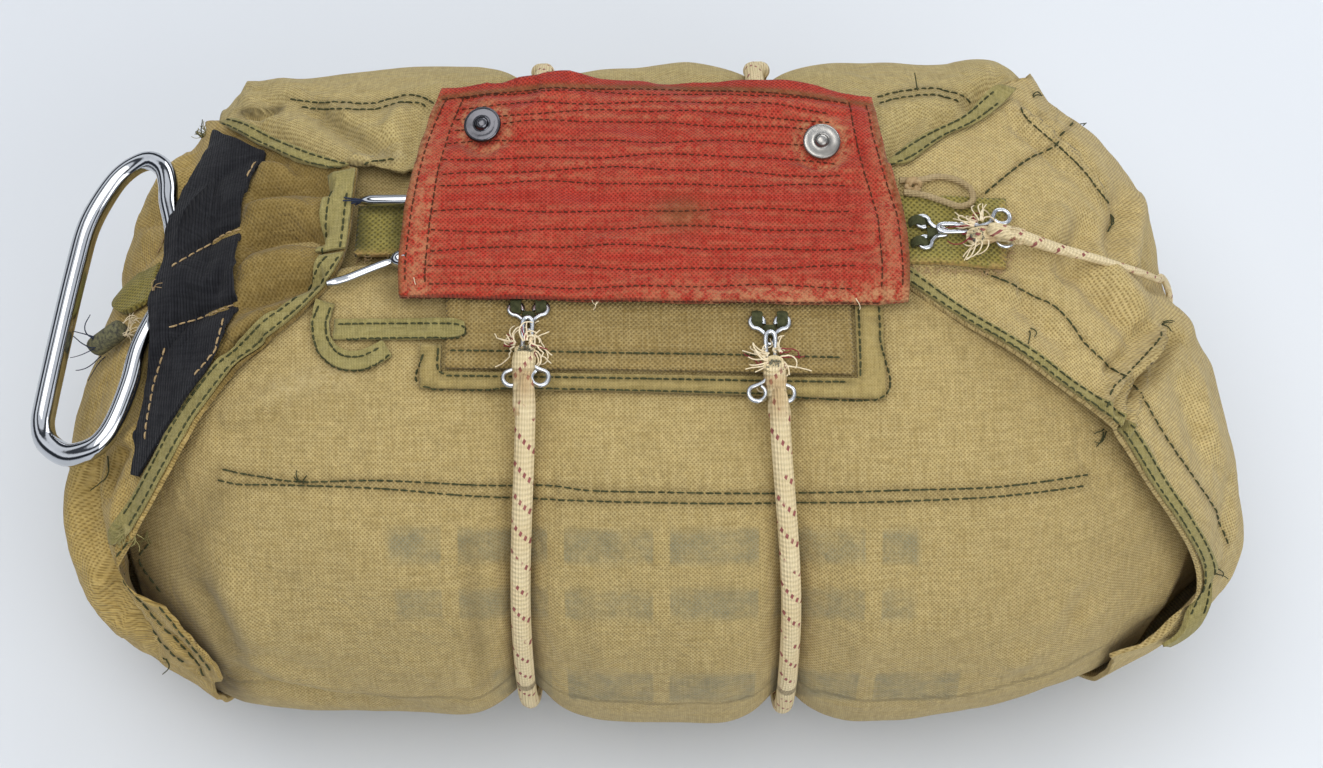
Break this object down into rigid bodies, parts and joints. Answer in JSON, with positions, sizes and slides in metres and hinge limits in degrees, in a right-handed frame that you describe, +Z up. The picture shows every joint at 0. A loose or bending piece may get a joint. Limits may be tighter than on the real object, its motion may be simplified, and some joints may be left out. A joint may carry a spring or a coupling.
{
  "type": "packed parachute",
  "caption": "Canvas chest-type packed parachute lying on its back, with end flaps, pack-opening elastics, hooks and eyes, red protector flap and a ripcord grip in an elastic pocket.",
  "frame": {"origin": "middle of the bounding box in X and Y, on the flat back that the pack lies on", "axes": "+X along the pack away from the ripcord grip, +Y towards the upper closing flap, +Z up from the flat back to the closed flaps"},
  "size_m": [0.4, 0.2372, 0.1609],
  "materials": {
    "canvas": "faded cotton duck",
    "olive_tape": "woven cotton tape",
    "olive_webbing": "coarse cotton webbing",
    "red_canvas": "worn quilted cotton",
    "black_elastic": "ribbed elastic webbing",
    "cord_cover": "braided cotton cover",
    "chrome": "polished plating",
    "steel": "bright wire and pressed steel"
  },
  "bodies": {
    "root": {"pack_body": "canvas", "upper_flap": "canvas", "lower_flap": "canvas", "left_flap": "canvas", "right_flap": "canvas", "left_tape_far": "olive_tape", "left_tape_end": "olive_tape", "left_tape_near": "olive_tape", "right_tape_far": "olive_tape", "right_tape_near": "olive_tape", "left_strap": "olive_webbing", "right_strap": "olive_webbing", "left_patch": "olive_webbing", "front_patch": "canvas", "patch_frame": "olive_tape", "corner_binding": "olive_tape", "tape_tab": "olive_tape", "eye_left": "steel", "hook_left": "steel", "eye_right": "steel", "hook_right": "steel", "eye_end": "steel", "hook_end": "steel", "elastic_left": "cord_cover", "elastic_right": "cord_cover", "elastic_end": "cord_cover", "elastic_stub": "cord_cover", "cord_loop": "cord_cover", "ripcord_pin": "chrome", "side_pin": "chrome", "ripcord_grip": "chrome", "grip_pocket": "black_elastic", "protector_flap": "red_canvas", "stud_left": "steel", "stud_right": "steel"}
  },
  "joints": []
}
